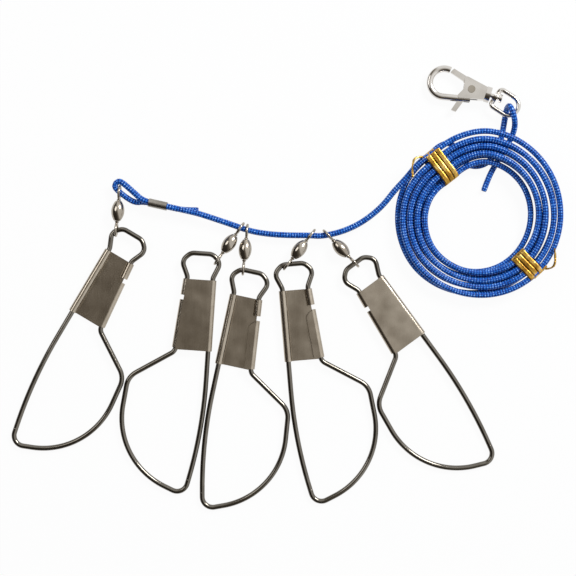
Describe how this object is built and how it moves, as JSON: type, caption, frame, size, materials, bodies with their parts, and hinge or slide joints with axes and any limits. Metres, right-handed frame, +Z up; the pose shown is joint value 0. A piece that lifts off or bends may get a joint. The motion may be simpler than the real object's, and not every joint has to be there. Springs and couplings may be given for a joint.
{
  "type": "fish stringer",
  "caption": "Fish stringer: wire snaps with folded latch plates on barrel swivels along a braided cord, wound in a tied coil, with a swivel trigger clasp at the end.",
  "frame": {"origin": "on the table, under the middle of the snaps, swivels and clasp", "axes": "+X to the right of the picture, towards the coil, +Y up the picture, +Z up from the table"},
  "size_m": [0.2618, 0.2114, 0.0123],
  "materials": {
    "spring_wire": "drawn spring steel wire, bright",
    "clasp_plate": "tinned sheet steel, satin",
    "swivel_nickel": "nickel plated",
    "clasp_nickel": "nickel plated zinc casting",
    "braided_cord": "braided nylon",
    "ferrule": "crimped",
    "twist_tie": "gold foil over wire"
  },
  "bodies": {
    "cord": {"cord_end_loop": "braided_cord", "cord_end_tail": "braided_cord", "cord_line": "braided_cord", "cord_coil": "braided_cord", "cord_clasp_loop": "braided_cord", "crimp_ferrule": "ferrule", "upper_twist_tie": "twist_tie", "lower_twist_tie": "twist_tie"},
    "upper_eye_1": {"swivel_1_upper_eye": "swivel_nickel"},
    "barrel_1": {"swivel_1_barrel": "swivel_nickel"},
    "lower_eye_1": {"swivel_1_lower_eye": "swivel_nickel"},
    "snap_1": {"snap_1_spine": "spring_wire", "snap_1_clasp_plate": "clasp_plate"},
    "bow_1": {"snap_1_bow": "spring_wire"},
    "upper_eye_2": {"swivel_2_upper_eye": "swivel_nickel"},
    "barrel_2": {"swivel_2_barrel": "swivel_nickel"},
    "lower_eye_2": {"swivel_2_lower_eye": "swivel_nickel"},
    "snap_2": {"snap_2_spine": "spring_wire", "snap_2_clasp_plate": "clasp_plate"},
    "bow_2": {"snap_2_bow": "spring_wire"},
    "upper_eye_3": {"swivel_3_upper_eye": "swivel_nickel"},
    "barrel_3": {"swivel_3_barrel": "swivel_nickel"},
    "lower_eye_3": {"swivel_3_lower_eye": "swivel_nickel"},
    "snap_3": {"snap_3_spine": "spring_wire", "snap_3_clasp_plate": "clasp_plate"},
    "bow_3": {"snap_3_bow": "spring_wire"},
    "upper_eye_4": {"swivel_4_upper_eye": "swivel_nickel"},
    "barrel_4": {"swivel_4_barrel": "swivel_nickel"},
    "lower_eye_4": {"swivel_4_lower_eye": "swivel_nickel"},
    "snap_4": {"snap_4_spine": "spring_wire", "snap_4_clasp_plate": "clasp_plate"},
    "bow_4": {"snap_4_bow": "spring_wire"},
    "upper_eye_5": {"swivel_5_upper_eye": "swivel_nickel"},
    "barrel_5": {"swivel_5_barrel": "swivel_nickel"},
    "lower_eye_5": {"swivel_5_lower_eye": "swivel_nickel"},
    "snap_5": {"snap_5_spine": "spring_wire", "snap_5_clasp_plate": "clasp_plate"},
    "bow_5": {"snap_5_bow": "spring_wire"},
    "d_ring": {"clasp_d_ring": "clasp_nickel"},
    "clasp": {"clasp_hook_body": "clasp_nickel", "clasp_gate_rivet": "clasp_nickel", "clasp_gate_spring": "clasp_nickel", "clasp_swivel_post": "clasp_nickel"},
    "gate": {"clasp_trigger_gate": "clasp_nickel"}
  },
  "joints": [
    {"name": "ring_1_on_cord", "type": "hinge", "parent": "cord", "child": "upper_eye_1", "pos_m": [-0.0693, 0.04524, 0.0036], "axis": [-0.9962, 0.0872, 0], "range_deg": [0, 120]},
    {"name": "barrel_1_spin", "type": "hinge", "parent": "upper_eye_1", "child": "barrel_1", "pos_m": [-0.07007, 0.03648, 0.0036], "axis": [0.0872, 0.9962, 0], "continuous": true},
    {"name": "swivel_1_turn", "type": "hinge", "parent": "upper_eye_1", "child": "lower_eye_1", "pos_m": [-0.07007, 0.03648, 0.0036], "axis": [0.0872, 0.9962, 0], "range_deg": [-90, 90]},
    {"name": "snap_1_swing", "type": "hinge", "parent": "lower_eye_1", "child": "snap_1", "pos_m": [-0.07089, 0.02715, 0.0032], "axis": [-0.9204, -0.3908, -0.0145], "range_deg": [-45, 100]},
    {"name": "bow_1_squeeze", "type": "hinge", "parent": "snap_1", "child": "bow_1", "pos_m": [-0.11897, -0.06708, 0.0013], "axis": [-0.0092, -0.0154, 0.9998], "range_deg": [0, 4.5], "stiffness_Nm_per_rad": 0.2, "springref_deg": -28.65},
    {"name": "ring_2_on_cord", "type": "hinge", "parent": "cord", "child": "upper_eye_2", "pos_m": [-0.01195, 0.02857, 0.0036], "axis": [-0.9395, 0.3426, 0], "range_deg": [0, 120]},
    {"name": "barrel_2_spin", "type": "hinge", "parent": "upper_eye_2", "child": "barrel_2", "pos_m": [-0.01722, 0.02098, 0.0036], "axis": [0.5807, 0.8141, 0], "continuous": true},
    {"name": "swivel_2_turn", "type": "hinge", "parent": "upper_eye_2", "child": "lower_eye_2", "pos_m": [-0.01722, 0.02098, 0.0036], "axis": [0.5807, 0.8141, 0], "range_deg": [-90, 15]},
    {"name": "snap_2_swing", "type": "hinge", "parent": "lower_eye_2", "child": "snap_2", "pos_m": [-0.02272, 0.01326, 0.0032], "axis": [0.5342, -0.8452, -0.0145], "range_deg": [-100, 45]},
    {"name": "bow_2_squeeze", "type": "hinge", "parent": "snap_2", "child": "bow_2", "pos_m": [-0.03684, -0.09159, 0.0013], "axis": [0.0012, 0.0179, -0.9998], "range_deg": [0, 4.5], "stiffness_Nm_per_rad": 0.2, "springref_deg": -28.65},
    {"name": "ring_3_on_cord", "type": "hinge", "parent": "cord", "child": "upper_eye_3", "pos_m": [-0.00861, 0.02745, 0.0036], "axis": [0.9598, -0.2806, 0], "range_deg": [-120, 0]},
    {"name": "barrel_3_spin", "type": "hinge", "parent": "upper_eye_3", "child": "barrel_3", "pos_m": [-0.00964, 0.01814, 0.0036], "axis": [0.0976, 0.9952, 0], "continuous": true},
    {"name": "swivel_3_turn", "type": "hinge", "parent": "upper_eye_3", "child": "lower_eye_3", "pos_m": [-0.00964, 0.01814, 0.0036], "axis": [-0.0976, -0.9952, 0], "range_deg": [-90, 90]},
    {"name": "snap_3_swing", "type": "hinge", "parent": "lower_eye_3", "child": "snap_3", "pos_m": [-0.01058, 0.00854, 0.0032], "axis": [-0.9984, 0.0561, -0.0027], "range_deg": [-45, 100]},
    {"name": "bow_3_squeeze", "type": "hinge", "parent": "snap_3", "child": "bow_3", "pos_m": [-0.03018, -0.09774, 0.0013], "axis": [-0.0037, -0.0172, 0.9998], "range_deg": [0, 4.5], "stiffness_Nm_per_rad": 0.2, "springref_deg": -28.65},
    {"name": "ring_4_on_cord", "type": "hinge", "parent": "cord", "child": "upper_eye_4", "pos_m": [0.02147, 0.02485, 0.0036], "axis": [0.999, -0.0452, 0], "range_deg": [-120, 0]},
    {"name": "barrel_4_spin", "type": "hinge", "parent": "upper_eye_4", "child": "barrel_4", "pos_m": [0.01605, 0.01815, 0.0036], "axis": [0.6157, 0.788, 0], "continuous": true},
    {"name": "swivel_4_turn", "type": "hinge", "parent": "upper_eye_4", "child": "lower_eye_4", "pos_m": [0.01605, 0.01815, 0.0036], "axis": [0.6157, 0.788, 0], "range_deg": [-90, 90]},
    {"name": "snap_4_swing", "type": "hinge", "parent": "lower_eye_4", "child": "snap_4", "pos_m": [0.01059, 0.01116, 0.0032], "axis": [-0.9965, -0.0837, 0], "range_deg": [-45, 100]},
    {"name": "bow_4_squeeze", "type": "hinge", "parent": "snap_4", "child": "bow_4", "pos_m": [0.02134, -0.09639, 0.0013], "axis": [0.0015, -0.0175, 0.9998], "range_deg": [0, 4.5], "stiffness_Nm_per_rad": 0.2, "springref_deg": -28.65},
    {"name": "ring_5_on_cord", "type": "hinge", "parent": "cord", "child": "upper_eye_5", "pos_m": [0.02967, 0.02515, 0.0036], "axis": [-0.9834, -0.1815, 0], "range_deg": [0, 120]},
    {"name": "barrel_5_spin", "type": "hinge", "parent": "upper_eye_5", "child": "barrel_5", "pos_m": [0.03581, 0.01869, 0.0036], "axis": [-0.6947, 0.7193, 0], "continuous": true},
    {"name": "swivel_5_turn", "type": "hinge", "parent": "upper_eye_5", "child": "lower_eye_5", "pos_m": [0.03581, 0.01869, 0.0036], "axis": [0.6947, -0.7193, 0], "range_deg": [-90, 90]},
    {"name": "snap_5_swing", "type": "hinge", "parent": "lower_eye_5", "child": "snap_5", "pos_m": [0.0425, 0.01176, 0.0032], "axis": [-0.807, -0.5906, 0], "range_deg": [-45, 100]},
    {"name": "bow_5_squeeze", "type": "hinge", "parent": "snap_5", "child": "bow_5", "pos_m": [0.10673, -0.07516, 0.0013], "axis": [-0.0104, 0.0142, -0.9998], "range_deg": [0, 4.5], "stiffness_Nm_per_rad": 0.2, "springref_deg": -28.65},
    {"name": "d_ring_swing", "type": "hinge", "parent": "cord", "child": "d_ring", "pos_m": [0.1163, 0.08186, 0.00462], "axis": [0.9687, 0.2424, 0.0532], "range_deg": [0, 80]},
    {"name": "clasp_spin", "type": "hinge", "parent": "d_ring", "child": "clasp", "pos_m": [0.10571, 0.09161, 0.0038], "axis": [0.9492, -0.3084, 0.0628], "continuous": true},
    {"name": "gate_press", "type": "hinge", "parent": "clasp", "child": "gate", "pos_m": [0.09767, 0.09401, 0.00327], "axis": [-0.0597, 0.0194, 0.998], "range_deg": [0, 25], "stiffness_Nm_per_rad": 0.02, "springref_deg": -28.65}
  ]
}
